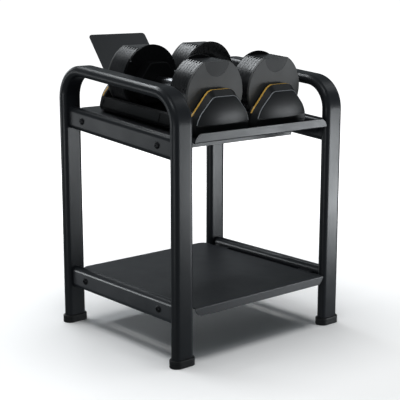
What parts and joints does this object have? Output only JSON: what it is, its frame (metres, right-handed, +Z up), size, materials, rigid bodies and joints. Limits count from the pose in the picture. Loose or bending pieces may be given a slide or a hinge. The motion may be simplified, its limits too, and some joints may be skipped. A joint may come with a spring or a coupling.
{
  "type": "dumbbell rack",
  "caption": "Two-tier bent-tube stand with a sloping tray holding adjustable dumbbells in cradles, a flat lower shelf and a leaning phone and tablet holder.",
  "frame": {"origin": "middle of the bounding box, on the floor", "axes": "+Z up, -Y towards the front where the tray slopes down, +X to the right seen from the front"},
  "size_m": [0.636, 0.6818, 0.8424],
  "materials": {
    "frame_paint": "semi-gloss charcoal powder coat",
    "sheet_paint": "satin charcoal powder coat",
    "foot_moulding": "satin",
    "fastener_black": "black oxide",
    "cradle_matt": "matt",
    "cradle_gloss": "gloss",
    "amber_trim": "satin",
    "pale_bead": "satin",
    "label_plate": "satin",
    "plate_paint": "satin",
    "end_cover": "satin",
    "inlay_dark": "satin",
    "hub_moulding": "satin",
    "tab_metal": "satin",
    "grip_metal": "satin",
    "rod_steel": "ground"
  },
  "bodies": {
    "rack": {"side_frame_left": "frame_paint", "lower_crossbar_left": "frame_paint", "upper_crossbar_left": "frame_paint", "foot_front_left": "foot_moulding", "foot_rear_left": "foot_moulding", "side_frame_right": "frame_paint", "lower_crossbar_right": "frame_paint", "upper_crossbar_right": "frame_paint", "foot_front_right": "foot_moulding", "foot_rear_right": "foot_moulding", "shelf": "sheet_paint", "tray": "sheet_paint", "tray_stiffener_front": "sheet_paint", "tray_stiffener_rear": "sheet_paint", "media_holder": "sheet_paint", "crossbar_bolts": "fastener_black", "crossbar_nuts": "fastener_black", "holder_screws": "fastener_black", "crossbar_spacers": "frame_paint", "cradle_trough_left": "cradle_matt", "cradle_front_end_left": "cradle_matt", "cradle_rear_end_left": "cradle_matt", "cradle_front_panel_left": "cradle_gloss", "cradle_rear_panel_left": "cradle_gloss", "cradle_amber_trims_left": "amber_trim", "cradle_edge_beads_left": "pale_bead", "cradle_side_plates_left": "label_plate", "cradle_screws_left": "fastener_black", "cradle_trough_right": "cradle_matt", "cradle_front_end_right": "cradle_matt", "cradle_rear_end_right": "cradle_matt", "cradle_front_panel_right": "cradle_gloss", "cradle_rear_panel_right": "cradle_gloss", "cradle_amber_trims_right": "amber_trim", "cradle_edge_beads_right": "pale_bead", "cradle_side_plates_right": "label_plate", "cradle_screws_right": "fastener_black"},
    "left_dumbbell": {"front_plates_left": "plate_paint", "front_end_plate_left": "end_cover", "front_hub_left": "hub_moulding", "rear_plates_left": "plate_paint", "rear_end_plate_left": "end_cover", "rear_hub_left": "hub_moulding", "end_inlays_left": "inlay_dark", "lock_tabs_left": "tab_metal"},
    "left_grip": {"grip_left": "grip_metal"},
    "left_front_selector": {"front_selector_left": "rod_steel"},
    "left_rear_selector": {"rear_selector_left": "rod_steel"},
    "right_dumbbell": {"front_plates_right": "plate_paint", "front_end_plate_right": "end_cover", "front_hub_right": "hub_moulding", "rear_plates_right": "plate_paint", "rear_end_plate_right": "end_cover", "rear_hub_right": "hub_moulding", "end_inlays_right": "inlay_dark", "lock_tabs_right": "tab_metal"},
    "right_grip": {"grip_right": "grip_metal"},
    "right_front_selector": {"front_selector_right": "rod_steel"},
    "right_rear_selector": {"rear_selector_right": "rod_steel"}
  },
  "joints": [
    {"name": "left_dumbbell_lift", "type": "slide", "parent": "rack", "child": "left_dumbbell", "axis": [0, -0.0785, 0.9969], "range_m": [0, 0.16]},
    {"name": "left_grip_turn", "type": "hinge", "parent": "left_dumbbell", "child": "left_grip", "pos_m": [-0.11, -0.07853, 0.72179], "axis": [0, 0.9969, 0.0785], "range_deg": [0, 300]},
    {"name": "left_front_selector_slide", "type": "slide", "parent": "left_dumbbell", "child": "left_front_selector", "axis": [0, -0.9969, -0.0785], "range_m": [0, 0.06]},
    {"name": "left_rear_selector_slide", "type": "slide", "parent": "left_dumbbell", "child": "left_rear_selector", "axis": [0, 0.9969, 0.0785], "range_m": [0, 0.06]},
    {"name": "right_dumbbell_lift", "type": "slide", "parent": "rack", "child": "right_dumbbell", "axis": [0, -0.0785, 0.9969], "range_m": [0, 0.16]},
    {"name": "right_grip_turn", "type": "hinge", "parent": "right_dumbbell", "child": "right_grip", "pos_m": [0.11, -0.07853, 0.72179], "axis": [0, 0.9969, 0.0785], "range_deg": [0, 300]},
    {"name": "right_front_selector_slide", "type": "slide", "parent": "right_dumbbell", "child": "right_front_selector", "axis": [0, -0.9969, -0.0785], "range_m": [0, 0.06]},
    {"name": "right_rear_selector_slide", "type": "slide", "parent": "right_dumbbell", "child": "right_rear_selector", "axis": [0, 0.9969, 0.0785], "range_m": [0, 0.06]}
  ],
  "couplings": [
    {"joint": "left_front_selector_slide", "follows": "left_grip_turn", "m_per_rad": 0.01145},
    {"joint": "left_rear_selector_slide", "follows": "left_grip_turn", "m_per_rad": 0.01145},
    {"joint": "right_front_selector_slide", "follows": "right_grip_turn", "m_per_rad": 0.01145},
    {"joint": "right_rear_selector_slide", "follows": "right_grip_turn", "m_per_rad": 0.01145}
  ]
}
